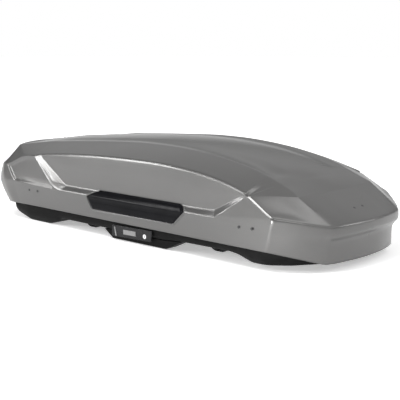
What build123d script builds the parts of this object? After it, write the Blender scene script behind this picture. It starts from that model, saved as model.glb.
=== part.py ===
from build123d import *
import math
import os

# Roof cargo box.  +X nose (driving direction), +Y the hinge side, +Z up, millimetres.
# Shapes are laid out in a drawing frame whose z = 0 is the lid's side rim; X0 and Z0 move them so that the origin is
# the bottom centre of the whole box.

os.makedirs("parts", exist_ok=True)

X0 = 60.5            # drawing x of the overall centre, negated
Z0 = 92.0            # depth of the base's lowest point under the lid rim
HALF_W = 457.5       # half of the overall width, at the lid's belt line
SKIN = 4.0           # lid and base wall thickness
RIM_HALF = 444.0     # half width of the lid at its lower rim
BASE_HALF = 431.0    # half width of the base under the rim
BASE_TOP = 12.0      # height of the base's upright edge inside the lid
HINGE_Y, HINGE_Z = 440.0, -8.0          # hinge line, under the far rim
HINGE_PIN_R, HINGE_BARREL_R = 2.5, 5.0
HINGE_X = (-640.0, -60.0, 500.0)        # centres of the three hinges
STRUT_X = (-960.0, 560.0)               # rear and front gas strut planes
STRUT_BASE = (350.0, -8.0)              # y, z of the lower pivots
STRUT_LID = (300.0, 226.0)              # y, z of the upper pivots
CLAMP_X = (-456.0, 420.0)               # the two crossbar lines
CLAMP_Y = (-300.0, 300.0)               # the two rail lines
CLAW_R = 52.0
LOCK_X, LOCK_Z = 65.0, -43.0            # lock plug centre
HOOK_X = (-520.0, -60.0, 400.0)         # latch hook stations
LATCH_Z = 2.0

nodes = {}


def V(p):
    return Vector(p[0] + X0, p[1], p[2] + Z0)


def tri_solid(tris):
    """Closed solid from triangles given as point triples in the drawing frame."""
    faces = []
    for t in tris:
        a, b, c = (V(p) for p in t)
        if (b - a).cross(c - a).length < 1e-4:
            continue
        faces.append(Face(Wire.make_polygon([a, b, c], close=True)))
    s = Solid(Shell(faces))
    if s.volume < 0:
        s = Solid(s.wrapped.Reversed())
    return s


def grid_tris(g):
    out = []
    for r in range(len(g) - 1):
        for c in range(len(g[r]) - 1):
            a, b, d, e = g[r][c], g[r][c + 1], g[r + 1][c], g[r + 1][c + 1]
            out += [(a, b, e), (a, e, d)]
    return out


def key(p):
    return (round(p[0], 2), round(p[1], 2), round(p[2], 2))


def clean(tris):
    return [t for t in tris if len({key(p) for p in t}) == 3]


def slab(front, back):
    """Closed solid between two equal grids of points."""
    t = grid_tris(front) + [(a, c, b) for a, b, c in grid_tris(back)]
    rows, cols = len(front), len(front[0])
    rim = ([(0, c) for c in range(cols)] + [(r, cols - 1) for r in range(1, rows)]
           + [(rows - 1, c) for c in range(cols - 2, -1, -1)] + [(r, 0) for r in range(rows - 2, 0, -1)])
    for k in range(len(rim)):
        (r0, c0), (r1, c1) = rim[k], rim[(k + 1) % len(rim)]
        a, b, d, e = front[r0][c0], front[r1][c1], back[r0][c0], back[r1][c1]
        t += [(b, a, d), (b, d, e)]
    return tri_solid(clean(t))


def hull8(bottom, top):
    """Solid between two four-point loops (both counter-clockwise seen from above)."""
    t = [(bottom[0], bottom[2], bottom[1]), (bottom[0], bottom[3], bottom[2]),
         (top[0], top[1], top[2]), (top[0], top[2], top[3])]
    for k in range(4):
        a, b, d, e = bottom[k], bottom[(k + 1) % 4], top[k], top[(k + 1) % 4]
        t += [(a, b, e), (a, e, d)]
    return tri_solid(clean(t))


def box(x0, x1, y0, y1, z0, z1):
    return Pos(V(((x0 + x1) / 2, (y0 + y1) / 2, (z0 + z1) / 2))) * Box(x1 - x0, y1 - y0, z1 - z0)


def rod(p, axis, r, length):
    """Cylinder centred at p along x, y or z."""
    turn = {"x": (0, 90, 0), "y": (90, 0, 0), "z": (0, 0, 0)}[axis]
    return Pos(V(p)) * Rot(*turn) * Cylinder(r, length)


def mir(p):
    return (p[0], -p[1], p[2])


def put(name, *solids):
    flat = []
    for s in solids:
        flat += list(s.solids())
    nodes[name] = flat


# ---------------------------------------------------------------- lid shell
def wall_y(z):
    if z <= 114:
        return -(RIM_HALF + (HALF_W - RIM_HALF) * (1 - (1 - max(z, 0) / 114) ** 1.4))
    return -(HALF_W - 27.5 * ((z - 114) / 106) ** 1.6)


def mixp(a, b, t):
    return tuple(a[k] + (b[k] - a[k]) * t for k in range(3))


def side(xr, xb, zb, U, v1=None):
    """One column of the side wall: rim, two wall points, belt, ledge, upper edge."""
    rim = (xr, -RIM_HALF, 0 if xr > -900 else -1)
    ub = (xr + (xb - xr) * 0.35, wall_y(45), 45)
    lb = (xr + (xb - xr) * 0.68, wall_y(80), 80)
    belt = (xb, -HALF_W if zb < 125 else wall_y(zb), zb)
    if v1 is None:
        v1 = mixp(belt, U, 0.25)
        v1 = (v1[0], (v1[1] + wall_y(v1[2])) / 2, v1[2])
    return [rim, ub, lb, belt, v1, U]


E = (672, -422, 224)
F = (837, -287, 218)
HC = (840, 0, 213)
A = (832, -457, 148)
VR = (-1011, -355, 308)
cols = [
    ([(1012, 0, -55), (1006, 0, 40), (1033, 0, 69), (1034, 0, 109), (976, 0, 141), HC], HC, HC),
    ([(1003, -133, -55), (1001, -133, 40), (1025, -133, 69), (1026, -133, 109), (970, -140, 142), (839, -145, 215)], (839, -145, 215), HC),
    ([(968, -268, -55), (978, -258, 40), (1001, -266, 69), (1001, -266, 109), (952, -272, 142), F], F, HC),
    ([(900, -351, -30), (912, -362, 45), (917, -365, 80), (921, -366, 129), (872, -363, 157), (755, -357, 221)], (800, -275, 235), (812, 0, 231)),
    ([(791, -RIM_HALF, 0), (805, -449, 45), (814, -452, 80), A, (784, -447, 171), E], (735, -273, 262), (745, 0, 266)),
    (side(560, 522, 114, E, (566, -449, 145)), (700, -273, 275), (708, 0, 283)),
    (side(540, 514, 114, (665, -424, 231), (505, -440, 143)), (660, -273, 290), (668, 0, 298)),
    (side(450, 450, 114, (600, -427, 256), (440, -440, 139)), (590, -273, 311), (590, 0, 321)),
    (side(337, 337, 114, (470, -430, 285), (325, -440, 138)), (470, -273, 336), (470, 0, 347)),
    (side(120, 120, 114, (230, -430, 310), (115, -440, 138)), (230, -273, 366), (230, 0, 377)),
    (side(-100, -100, 114, (-60, -430, 315), (-100, -440, 138)), (-60, -273, 376), (-60, 0, 387)),
    (side(-329, -329, 114, (-360, -430, 308), (-320, -440, 138)), (-360, -273, 364), (-360, 0, 376)),
    (side(-440, -440, 114, (-567, -430, 296), (-430, -440, 138)), (-560, -285, 352), (-560, 0, 362)),
    (side(-520, -530, 114, (-738, -430, 279), (-512, -440, 139)), (-720, -302, 341), (-720, 0, 350)),
    (side(-590, -590, 114, (-778, -434, 270), None), (-770, -308, 338), (-790, 0, 344)),
    (side(-680, -700, 117, (-862, -435, 263), None), VR, (-900, 0, 333)),
    (side(-900, -937, 122, (-1025, -439, 206), None), VR, (-1000, 0, 322)),
    ([(-985, -440, -3), (-1015, -447, 45), (-1030, -450, 80), (-1045, -450, 112), (-1052, -448, 140), (-1055, -436, 206)], VR, (-1040, 0, 316)),
    ([(-1038, -420, -6), (-1082, -420, 48), (-1104, -420, 80), (-1117, -420, 107), (-1113, -420, 140), (-1086, -420, 205)], (-1050, -290, 310), (-1065, 0, 313)),
    ([(-1068, -330, -6), (-1114, -330, 48), (-1136, -330, 80), (-1146, -330, 107), (-1143, -330, 140), (-1125, -330, 205)], (-1078, -190, 312), (-1080, 0, 311)),
    ([(-1080, 0, -6), (-1125, 0, 48), (-1146, 0, 80), (-1155, 0, 107), (-1152, 0, 140), (-1138, 0, 205)], (-1092, 0, 309), (-1092, 0, 309)),
]
half = []
for low, T, C in cols:
    m1, m2 = mixp(T, C, 0.18), mixp(T, C, 0.55)
    same = key(T) == key(C)
    m1 = m1 if same else (m1[0], m1[1], m1[2] - (4 if 700 > T[0] > -1000 else 0))
    m2 = m2 if same else (m2[0], m2[1], m2[2] + (1 if 700 > T[0] > -1000 else 0))
    half.append(low + [T, m1, m2, C])
rows = len(half[0])
near = [[half[c][r] for c in range(len(half))] for r in range(rows)]
outer = clean(grid_tris(near))
outer += clean([(mir(a), mir(c), mir(b)) for a, b, c in outer])


def offset_mesh(tris, t, flat_low):
    """Inner skin: every vertex moved by t along the mean of its face normals."""
    acc, pts = {}, {}
    for a, b, c in tris:
        u, v = [b[k] - a[k] for k in range(3)], [c[k] - a[k] for k in range(3)]
        n = (u[1] * v[2] - u[2] * v[1], u[2] * v[0] - u[0] * v[2], u[0] * v[1] - u[1] * v[0])
        m = math.sqrt(sum(q * q for q in n))
        if m < 1e-9:
            continue
        n = [q / m for q in n]
        for p in (a, b, c):
            k0 = key(p)
            pts[k0] = p
            lst = acc.setdefault(k0, [])
            if all(sum(n[i] * q[i] for i in range(3)) < 0.9995 for q in lst):
                lst.append(n)
    moved = {}
    for k0, lst in acc.items():
        s = [sum(n[i] for n in lst) for i in range(3)]
        if k0 in flat_low:
            s[2] = 0
        m = math.sqrt(sum(q * q for q in s))
        s = [q / m for q in s]
        dots = [sum(n[i] * s[i] for i in range(3)) for n in lst]
        scale = min(1.6, 1 / max(0.3, sum(dots) / len(dots)))
        if k0 in flat_low:
            scale = 1.0
        p = pts[k0]
        moved[k0] = tuple(p[i] + s[i] * t * scale for i in range(3))
    return moved


def shell_from(tris, t, open_loop):
    """Closed skin of thickness t from an outward-facing open mesh and its ordered open loop."""
    low = {key(p) for p in open_loop}
    moved = offset_mesh(tris, t, low)
    inner = [(moved[key(a)], moved[key(c)], moved[key(b)]) for a, b, c in tris]
    edge = []
    n = len(open_loop)
    for k in range(n):
        a, b = open_loop[k], open_loop[(k + 1) % n]
        if key(a) == key(b):
            continue
        edge += [(a, b, moved[key(b)]), (a, moved[key(b)], moved[key(a)])]
    return tri_solid(clean(list(tris) + inner + edge)), moved


# outward orientation test at the near belt: normals must point to -y
a, b, c = outer[0]
rim_near = near[0]
loop = rim_near + [mir(p) for p in reversed(rim_near[1:-1])]
sgn = -1.0


def facing(tris):
    cx = [sum(p[k] for t in tris for p in t) / (3 * len(tris)) for k in range(3)]
    s = 0
    for a, b, c in tris:
        u, v = [b[k] - a[k] for k in range(3)], [c[k] - a[k] for k in range(3)]
        n = (u[1] * v[2] - u[2] * v[1], u[2] * v[0] - u[0] * v[2], u[0] * v[1] - u[1] * v[0])
        s += sum(n[k] * (a[k] - cx[k]) for k in range(3))
    return 1 if s > 0 else -1


if facing(outer) < 0:
    outer = [(a, c, b) for a, b, c in outer]
lid, lid_in = shell_from(outer, -SKIN, loop)
put("lid_shell", lid)

inner_tris = [tuple(lid_in[key(p)] for p in t) for t in outer]


def lid_under(x, y):
    """Height of the inner skin above the point (x, y)."""
    best = None
    for a, b, c in inner_tris:
        d = (b[0] - a[0]) * (c[1] - a[1]) - (c[0] - a[0]) * (b[1] - a[1])
        if abs(d) < 1e-6:
            continue
        u = ((x - a[0]) * (c[1] - a[1]) - (c[0] - a[0]) * (y - a[1])) / d
        v = ((b[0] - a[0]) * (y - a[1]) - (x - a[0]) * (b[1] - a[1])) / d
        if u >= -1e-6 and v >= -1e-6 and u + v <= 1 + 1e-6:
            z = a[2] + u * (b[2] - a[2]) + v * (c[2] - a[2])
            best = z if best is None or z > best else best
    return best


# ---------------------------------------------------------------- grab trims on both sides
def trim(sign):
    zs = [(47, -293, 268), (113, -329, 338), (146, -238, 300)]
    def row(z, x0, x1, off):
        y = {47: wall_y(47), 113: wall_y(113), 146: -439.8}[z] - off
        return [(x0, sign * -y, z), ((x0 + x1) / 2, sign * -y, z), (x1, sign * -y, z)]
    front = [row(z, x0 + 3, x1 - 3, {47: 4.4, 113: 7.0, 146: 6.0}[z]) for z, x0, x1 in zs]
    back = [row(z, x0, x1, 1.2) for z, x0, x1 in zs]
    return slab(front, back)


put("grab_trim_near", trim(-1))
put("grab_trim_far", trim(1))

# ---------------------------------------------------------------- screws through the lid skin
def side_screw(x, z, s):
    y = wall_y(z)
    head = rod((x, s * -(y - 1.0), z), "y", 6.2, 2.2)
    shank = rod((x, s * -(y + 4.0), z), "y", 2.5, 9.0)
    return head + shank


put("side_screws", *[side_screw(x, z, s) for s in (-1, 1) for x, z in ((-804, 86), (-734, 86), (657, 91), (728, 93))])
nose_n = math.degrees(math.atan2(72, 194))
scr = []
for y in (-32, 32):
    z = 109 + (1033 - 953) * (104 / 193)
    s = Pos(V((953, y, z))) * Rot(0, 28.3, 0) * (Pos(0, 0, 0.4) * Cylinder(6.2, 2.2) + Pos(0, 0, -4) * Cylinder(2.5, 9.0))
    scr.append(s)
put("nose_screws", *scr)

# ---------------------------------------------------------------- lid stiffeners, glued under the roof
def stiffener(x, half):
    ys = [-half, -half * 0.75, -half * 0.5, -half * 0.25, 0, half * 0.25, half * 0.5, half * 0.75, half]
    front = [[(x + d, y, lid_under(x + d, y) - 1.6) for y in ys] for d in (-45, -20, 20, 45)]
    back = [[(x + d, y, lid_under(x + d, y) - (4.5 if abs(d) > 30 else 24)) for y in ys] for d in (-45, -20, 20, 45)]
    return slab(front, back)


put("lid_stiffener_front", stiffener(330, 215))
put("lid_stiffener_rear", stiffener(-560, 215))

# ---------------------------------------------------------------- base shell
# stations: x, half width at the top, half width at the floor, floor z, top z
st = [
    (-1058, 300, 285, -12, BASE_TOP - 6), (-1026, 385, 365, -36, BASE_TOP - 6), (-985, 424, 404, -60, BASE_TOP),
    (-868, BASE_HALF, 408, -Z0, BASE_TOP), (-700, BASE_HALF, 408, -Z0, BASE_TOP), (-632, BASE_HALF, 414, -75, BASE_TOP),
    (-588, BASE_HALF, 419, -48.5, BASE_TOP), (160, BASE_HALF, 420, -48.5, BASE_TOP), (290, BASE_HALF, 420, -39, BASE_TOP),
    (570, BASE_HALF, 420, -35, BASE_TOP), (620, BASE_HALF, 416, -42, BASE_TOP), (690, BASE_HALF, 408, -68, BASE_TOP),
    (760, 428, 402, -68, BASE_TOP), (850, 366, 340, -66, -2), (935, 262, 240, -62, -20), (975, 150, 138, -58, -28),
]


def section(x, wt, wf, zf, zt):
    zm = (zt + zf) / 2
    wm = max(wf, min(wt, wt - 2))
    return [(x, -wt, zt), (x, -wm, zf + (zt - zf) * 0.38), (x, -wf, zf), (x, -wf * 0.5, zf), (x, wf * 0.5, zf), (x, wf, zf),
            (x, wm, zf + (zt - zf) * 0.38), (x, wt, zt)]


def tray(sts, t):
    outer_g = [section(*s) for s in sts]
    inn = []
    for k, (x, wt, wf, zf, zt) in enumerate(sts):
        xi = x + (t if k == 0 else -t if k == len(sts) - 1 else 0)
        s = section(xi, wt - t, wf - t, zf + t, zt)
        inn.append(s)
    tris = grid_tris(outer_g)
    for sec, flip in ((outer_g[0], False), (outer_g[-1], True)):
        for k in range(1, len(sec) - 1):
            tr = (sec[0], sec[k], sec[k + 1])
            tris.append(tr if flip else (tr[0], tr[2], tr[1]))
    itris = grid_tris(inn)
    for sec, flip in ((inn[0], False), (inn[-1], True)):
        for k in range(1, len(sec) - 1):
            tr = (sec[0], sec[k], sec[k + 1])
            itris.append(tr if flip else (tr[0], tr[2], tr[1]))
    lo = [s[0] for s in outer_g] + [s[-1] for s in reversed(outer_g)]
    li = [s[0] for s in inn] + [s[-1] for s in reversed(inn)]
    edge = []
    n = len(lo)
    for k in range(n):
        a, b, d, e = lo[k], lo[(k + 1) % n], li[k], li[(k + 1) % n]
        edge += [(a, b, e), (a, e, d)]
    return tri_solid(clean(tris + [(a, c, b) for a, b, c in itris] + edge))


base = tray(st, SKIN)


def floor_z(x):
    for k in range(len(st) - 1):
        if st[k][0] <= x <= st[k + 1][0]:
            t = (x - st[k][0]) / (st[k + 1][0] - st[k][0])
            return st[k][3] + t * (st[k + 1][3] - st[k][3])
    return -50


CUT_L, CUT_W = 124.0, 44.0
for cx in CLAMP_X:
    for cy in CLAMP_Y:
        base = base - box(cx - CUT_L / 2, cx + CUT_L / 2, cy - CUT_W / 2, cy + CUT_W / 2, -70, -20)
# slots for U-bolts or a track adapter, four on a rectangle
SLOT_X, SLOT_Y, SLOT_R, SLOT_L = 300.0, 400.0, 4.25, 40.0
SLOT_CX = -150.0
for sx in (-1, 1):
    for sy in (-1, 1):
        cx, cy = SLOT_CX + sx * SLOT_X / 2, sy * SLOT_Y / 2
        cut = box(cx - SLOT_L / 2 + SLOT_R, cx + SLOT_L / 2 - SLOT_R, cy - SLOT_R, cy + SLOT_R, -70, -20)
        cut = cut + rod((cx - SLOT_L / 2 + SLOT_R, cy, -45), "z", SLOT_R, 50) + rod((cx + SLOT_L / 2 - SLOT_R, cy, -45), "z", SLOT_R, 50)
        base = base - cut
# way through for the lock
base = base - rod((LOCK_X, -430, LOCK_Z), "y", 11.6, 46) - box(LOCK_X - 24, LOCK_X + 24, -424, -396, -60, -34)
put("base_shell", base)
print("base solids", len(base.solids()))

# ---------------------------------------------------------------- steel rails on the floor, split around the clamp cut-outs
def floor_top(x):
    return floor_z(x) + SKIN


def rail(cy):
    out = []
    for run in ((-580, CLAMP_X[0] - 66), (CLAMP_X[0] + 66, 160, 290, CLAMP_X[1] - 66)):
        whole = None
        for x0, x1 in zip(run, run[1:]):
            for y0, y1, h in ((cy - 27, cy - 23, 14), (cy + 23, cy + 27, 14), (cy - 23, cy + 23, 2.5)):
                n = [(x0, y0), (x1, y0), (x1, y1), (x0, y1)]
                piece = hull8([(x, y, floor_top(x) + 0.3) for x, y in n], [(x, y, floor_top(x) + 0.3 + h) for x, y in n])
                whole = piece if whole is None else whole + piece
        out.append(whole)
    return out


put("rail_near", *rail(CLAMP_Y[0]))
put("rail_far", *rail(CLAMP_Y[1]))

# floor cross channels
def channel(x):
    z = floor_top(x) + 0.3
    return (box(x - 30, x + 30, -262, 262, z + 0.8, z + 3.3) + box(x - 18, x + 18, -262, 262, z + 3.3, z + 12)) 


put("floor_channels", channel(-480), channel(300))

# ---------------------------------------------------------------- clamp units
for i, (cx, cy, tag) in enumerate([(CLAMP_X[0], CLAMP_Y[0], "rear_near"), (CLAMP_X[0], CLAMP_Y[1], "rear_far"),
                                   (CLAMP_X[1], CLAMP_Y[0], "front_near"), (CLAMP_X[1], CLAMP_Y[1], "front_far")]):
    f = floor_top(cx)
    f0 = max(floor_top(x) for x in (cx - 64, cx, cx + 40, cx + 64)) + 0.3
    foot = box(cx - 64, cx + 64, cy - 34, cy + 34, f0, f + 8)
    body = box(cx - 60, cx + 60, cy - 26, cy + 26, f + 8, f + 40)
    body = fillet(body.edges().filter_by(Axis.Z), 9)
    body = chamfer(body.faces().sort_by(Axis.Z)[-1].edges(), 5)
    well = box(cx - 57, cx + 57, cy - 17, cy + 17, f - 20, f + 30)
    cheeks = box(cx - 57, cx + 57, cy + 17, cy + 20.5, f - 9, f + 8) + box(cx - 57, cx + 57, cy - 20.5, cy - 17, f - 9, f + 8)
    housing = (foot + body) - well + cheeks
    for s in (-1, 1):
        housing = housing - rod((cx + s * 50.0, cy, f - 3.0), "y", 3.0, 60)
    housing = housing - rod((cx, cy, f + 36), "z", 6.05, 30)
    put("clamp_housing_" + tag, housing)
    knob = rod((cx, cy, f + 52), "z", 24, 20)
    knob = chamfer(knob.edges().sort_by(Axis.Z)[-1], 3)
    for k in range(10):
        an = math.radians(36 * k)
        knob = knob - rod((cx + 27.5 * math.cos(an), cy + 27.5 * math.sin(an), f + 52), "z", 6, 24)
    knob = knob + rod((cx, cy, f + 33), "z", 6, 20)
    put("clamp_knob_" + tag, knob)
    for side_tag, s in (("a", -1), ("b", 1)):
        px, pz = cx + s * 50.0, f - 3.0
        # hooked claw: starts at its pivot, bows down under the crossbar and ends at the middle
        prof = [(-4, 5), (-6, 0), (-6, -10), (-1, -24), (10, -36), (26, -42.5), (46.5, -43.5), (47.5, -36),
                (34, -34), (21, -29), (12, -19), (9.5, -8), (10, 5), (6, 8), (0, 8)]
        pts = [V((px - s * dx, cy - 14, pz + dz)) for dx, dz in prof]
        face = Face(Wire.make_polygon(pts, close=True))
        claw = extrude(face, amount=28, dir=(0, 1, 0))
        claw = claw - rod((px, cy, pz), "y", 3.05, 40)
        put("claw_%s_%s" % (tag, side_tag), claw)
    put("claw_pins_" + tag, *[rod((cx + s * 50.0, cy, f - 3.0), "y", 3, 41) for s in (-1, 1)])

# ---------------------------------------------------------------- hinges on the far side
kn_b, kn_l, pins = [], [], []
for hx in HINGE_X:
    plate = box(hx - 42, hx + 42, BASE_HALF + 0.2, BASE_HALF + 2.2, -26, -2)
    for dx in (-30, 30):
        b = rod((hx + dx, HINGE_Y, HINGE_Z), "x", HINGE_BARREL_R, 18) + box(hx + dx - 9, hx + dx + 9, BASE_HALF + 0.2, HINGE_Y, HINGE_Z - HINGE_BARREL_R, HINGE_Z)
        plate = plate + (b - rod((hx + dx, HINGE_Y, HINGE_Z), "x", HINGE_PIN_R + 0.05, 30))
    kn_b.append(plate)
    lk = rod((hx, HINGE_Y, HINGE_Z), "x", HINGE_BARREL_R, 40) + box(hx - 20, hx + 20, 435.2, 439.4, HINGE_Z, 30)
    lk = lk - rod((hx, HINGE_Y, HINGE_Z), "x", HINGE_PIN_R + 0.05, 60)
    kn_l.append(lk)
    pins.append(rod((hx, HINGE_Y, HINGE_Z), "x", HINGE_PIN_R, 82))
put("hinge_base_knuckles", *kn_b)
put("hinge_lid_leaves", *kn_l)
put("hinge_pins", *pins)

# ---------------------------------------------------------------- gas struts
by, bz = STRUT_BASE
ly, lz = STRUT_LID
L = math.hypot(ly - by, lz - bz)
ang = math.degrees(math.atan2(lz - bz, ly - by))
base_br, lid_br = [], []
for sx, tag in zip(STRUT_X, ("rear", "front")):
    fz = max(floor_top(sx - 14), floor_top(sx + 14))
    base_br.append(box(sx - 14, sx - 9, by - 12, by + 12, fz + 0.5, bz + 8) + box(sx + 9, sx + 14, by - 12, by + 12, fz + 0.5, bz + 8)
                   + box(sx - 14, sx + 14, by - 12, by + 12, fz + 0.5, min(bz - 12, fz + 8)) + rod((sx, by, bz), "x", 4, 26))
    def lug(x0, x1, low):
        n = [(x0, ly - 24), (x1, ly - 24), (x1, ly + 24), (x0, ly + 24)]
        return hull8([(x, y, low(x, y)) for x, y in n], [(x, y, lid_under(x, y) - 1.2) for x, y in n])
    for k in (-1, 1):
        lid_br.append(lug(sx + min(k * 20, k * 24), sx + max(k * 20, k * 24), lambda x, y: lz - 14))
    lid_br[-2:] = [lid_br[-2] + lid_br[-1] + lug(sx - 24, sx + 24, lambda x, y: lid_under(x, y) - 8)]
    # cylinder: eye at the lower pivot, tube up to 60 % of the length
    d = (math.cos(math.radians(ang)), math.sin(math.radians(ang)))
    def along(t, r, l, sx=sx):
        p = (sx, by + d[0] * t, bz + d[1] * t)
        return Pos(V(p)) * Rot(ang - 90, 0, 0) * Cylinder(r, l)
    eye = rod((sx, by, bz), "x", 9, 12) - rod((sx, by, bz), "x", 4.05, 30)
    tube = along(92, 11, 150) - along(102, 8, 160) 
    tube = tube + along(12.5, 6, 10)
    eye = eye + tube
    cap = along(160, 11, 14) - along(160, 4.05, 30)
    cyl = (eye + cap) - rod((sx, by, bz), "x", 4.05, 30)
    put("strut_cylinder_" + tag, cyl)
    r1 = along((L + 60) / 2, 4, L - 60) + along(63.5, 7.5, 10)
    top = rod((sx, ly, lz), "x", 8, 30)
    put("strut_rod_" + tag, r1 + top)
put("strut_base_brackets", *base_br)
put("strut_lid_brackets", *lid_br)
print("strut", L, ang)

# ---------------------------------------------------------------- lock console under the near rim, plain cover under the far rim
def console(s):
    xs = [-240, -182, 160, 184, 279]
    zt = [-49.2, -49.2, -49.2, -47.6, -40.8]
    zb = [-51.5, -90, -88.3, -88, -43.5]
    yo = [419, 418, 418, 418, 419]
    top = [[(x, s * o, z) for x, o, z in zip(xs, yo, zt)], [(x, s * 345, z) for x, z in zip(xs, zt)]]
    bot = [[(x, s * o, z) for x, o, z in zip(xs, yo, zb)], [(x, s * 345, z) for x, z in zip(xs, zb)]]
    return slab(top, bot)


near_c = console(-1)
near_c = near_c - box(-176, 150, -412.2, -352, -84, -30)
near_c = near_c - rod((LOCK_X, -436, LOCK_Z), "y", 11.3, 60)
put("lock_console", near_c)
put("far_console", console(1) - box(-176, 150, 352, 412.2, -84, -30))
# face panel in front of the base's side, carrying the blank label, the slanted mark and the lock
panel = hull8([(-169, -437, -72), (104, -437, -64), (104, -432.2, -64), (-169, -432.2, -72)],
              [(-163, -438, -17), (113, -438, -11), (113, -432.2, -11), (-163, -432.2, -17)])
panel = panel - rod((LOCK_X, -436, LOCK_Z), "y", 11.05, 30)
put("lock_face_panel", panel)
put("label_plate", hull8([(-84, -438.9, -54), (2, -438.7, -52), (2, -438.1, -52), (-84, -438.1, -54)],
                         [(-84, -439.1, -31), (2, -439.1, -29), (2, -438.3, -29), (-84, -438.3, -31)]))
put("slanted_mark", hull8([(-142, -438.7, -68), (-132, -438.7, -68), (-132, -437.9, -68), (-142, -437.9, -68)],
                          [(-150, -439.3, -24), (-142, -439.3, -24), (-142, -438.5, -24), (-150, -438.5, -24)]))

# plug with its key slot, and the cam that drives the latch bar
plug = rod((LOCK_X, -424.5, LOCK_Z), "y", 11, 31) - box(LOCK_X - 1.2, LOCK_X + 1.2, -442, -431, LOCK_Z - 6, LOCK_Z + 6)
put("lock_plug", plug)
CAM_R = 16.0
TRAVEL = 2 * CAM_R * math.sin(math.radians(45))
cam_c = (LOCK_X - CAM_R * math.sin(math.radians(45)), -407.0, LOCK_Z + CAM_R * math.cos(math.radians(45)))
cam = rod((LOCK_X, -407.5, LOCK_Z), "y", 8, 3) + rod((cam_c[0], -407.5, cam_c[2]), "y", 5, 3)
arm = Pos(V(((LOCK_X + cam_c[0]) / 2, -407.5, (LOCK_Z + cam_c[2]) / 2))) * Rot(0, -45, 0) * Box(9, 3, CAM_R)
cam = cam + arm + rod((cam_c[0], -404.2, cam_c[2]), "y", 2.6, 6)
put("lock_cam", cam)

# latch bar with three hooks; it slides toward the nose to lock
bar = box(HOOK_X[0] - 24, HOOK_X[2] + 24, -404.8, -401.8, -21, -9)
drive = box(cam_c[0] - 11, cam_c[0] + 11, -404.8, -401.8, -37.2, -20)
drive = drive - box(cam_c[0] - 3.2, cam_c[0] + 3.2, -410, -395, cam_c[2] - 3.4, cam_c[2] + 8.5)
bar = bar + drive
for hx in HOOK_X:
    hook = box(hx - 14, hx + 14, -404.8, -401.8, -14, -6) + box(hx - 14, hx - 6, -404.8, -401.8, -14, 12) + box(hx - 14, hx + 10, -404.8, -401.8, 6, 12)
    bar = bar + hook
put("latch_bar", bar)
guides = []
for gx in (-400, -180, 180, 300):
    fz = max(floor_top(gx - 12), floor_top(gx + 12)) + 0.4
    g = box(gx - 12, gx + 12, -412, -394, fz, -5) - box(gx - 14, gx + 14, -405.2, -401.4, -21.4, -8.6)
    guides.append(g)
put("latch_guides", *guides)
strikers = []
for hx in HOOK_X:
    sx = hx + 24
    g = box(sx - 10, sx + 10, -441.6, -396, 18, 22) + box(sx - 10, sx + 10, -399, -396, -5, 18) + rod((sx, -404.5, 0), "y", 3, 14)
    strikers.append(g)
put("lid_strikers", *strikers)

# rubber strips under the floor, where a crossbar bears
pads = []
for cx in CLAMP_X:
    for cy in CLAMP_Y:
        for dy in (-34, 34):
            n = [(cx - 52, cy + dy - 8), (cx + 52, cy + dy - 8), (cx + 52, cy + dy + 8), (cx - 52, cy + dy + 8)]
            pads.append(hull8([(x, y, floor_z(x) - 3.2) for x, y in n], [(x, y, floor_z(x) - 0.2) for x, y in n]))
put("bar_pads", *pads)

# cargo straps over the rails, their anchors and cam buckles
STRAP_X = (-250.0, 20.0, 290.0)
anchors = []
for n_, sx in zip(("rear", "middle", "front"), STRAP_X):
    f = floor_top(sx)
    path = [(-352, f + 4), (-340, f + 4), (-326, f + 16.2), (326, f + 16.2), (340, f + 4), (352, f + 4)]
    low = [[(x, y, z) for y, z in path] for x in (sx - 12.5, sx + 12.5)]
    top = [[(x, y, z + 1.6) for y, z in path] for x in (sx - 12.5, sx + 12.5)]
    put("strap_" + n_, slab(top, low))
    for sy in (-1, 1):
        anchors.append(box(sx - 17, sx + 17, min(sy * 344, sy * 366), max(sy * 344, sy * 366), f + 0.4, f + 3.6)
                       + box(sx - 17, sx + 17, min(sy * 356, sy * 362), max(sy * 356, sy * 362), f + 3.6, f + 12))
put("strap_anchors", *anchors)
buckles = []
for sx in STRAP_X:
    f = floor_top(sx)
    b = box(sx - 18, sx + 18, -150, -104, f + 14.6, f + 28) - box(sx - 13.5, sx + 13.5, -160, -95, f + 15.8, f + 18.6)
    b = chamfer(b.faces().sort_by(Axis.Z)[-1].edges(), 2.5)
    buckles.append(b)
put("strap_buckles", *buckles)

for name, solids in nodes.items():
    for s in solids:
        if not s.is_valid:
            print("not valid:", name)
    export_step(Compound(children=[Solid(s.wrapped) for s in solids]) if len(solids) > 1 else Solid(solids[0].wrapped), "parts/%s.step" % name)
print(len(nodes), "nodes")
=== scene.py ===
import math

import bmesh
import bpy
import numpy as np
from mathutils import Matrix, Vector


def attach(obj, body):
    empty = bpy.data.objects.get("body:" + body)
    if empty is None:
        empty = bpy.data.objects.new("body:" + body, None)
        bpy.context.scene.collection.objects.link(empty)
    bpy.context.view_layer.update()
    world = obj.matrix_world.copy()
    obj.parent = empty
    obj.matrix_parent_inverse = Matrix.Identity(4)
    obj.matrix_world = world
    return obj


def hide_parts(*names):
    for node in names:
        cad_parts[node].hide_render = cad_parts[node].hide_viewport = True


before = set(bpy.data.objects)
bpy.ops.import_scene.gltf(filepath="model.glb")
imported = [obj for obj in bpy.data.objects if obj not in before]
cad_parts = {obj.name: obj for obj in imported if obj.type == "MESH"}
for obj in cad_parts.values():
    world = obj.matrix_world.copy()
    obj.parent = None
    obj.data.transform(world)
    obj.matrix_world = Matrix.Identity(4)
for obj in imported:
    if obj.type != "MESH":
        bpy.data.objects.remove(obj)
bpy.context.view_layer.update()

# Shapes are laid out in millimetres in a drawing frame whose z = 0 is the lid's side rim, as in the CAD source.
X0, Z0 = 60.5, 92.0
SHIFT = np.array([X0, 0.0, Z0])


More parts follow.
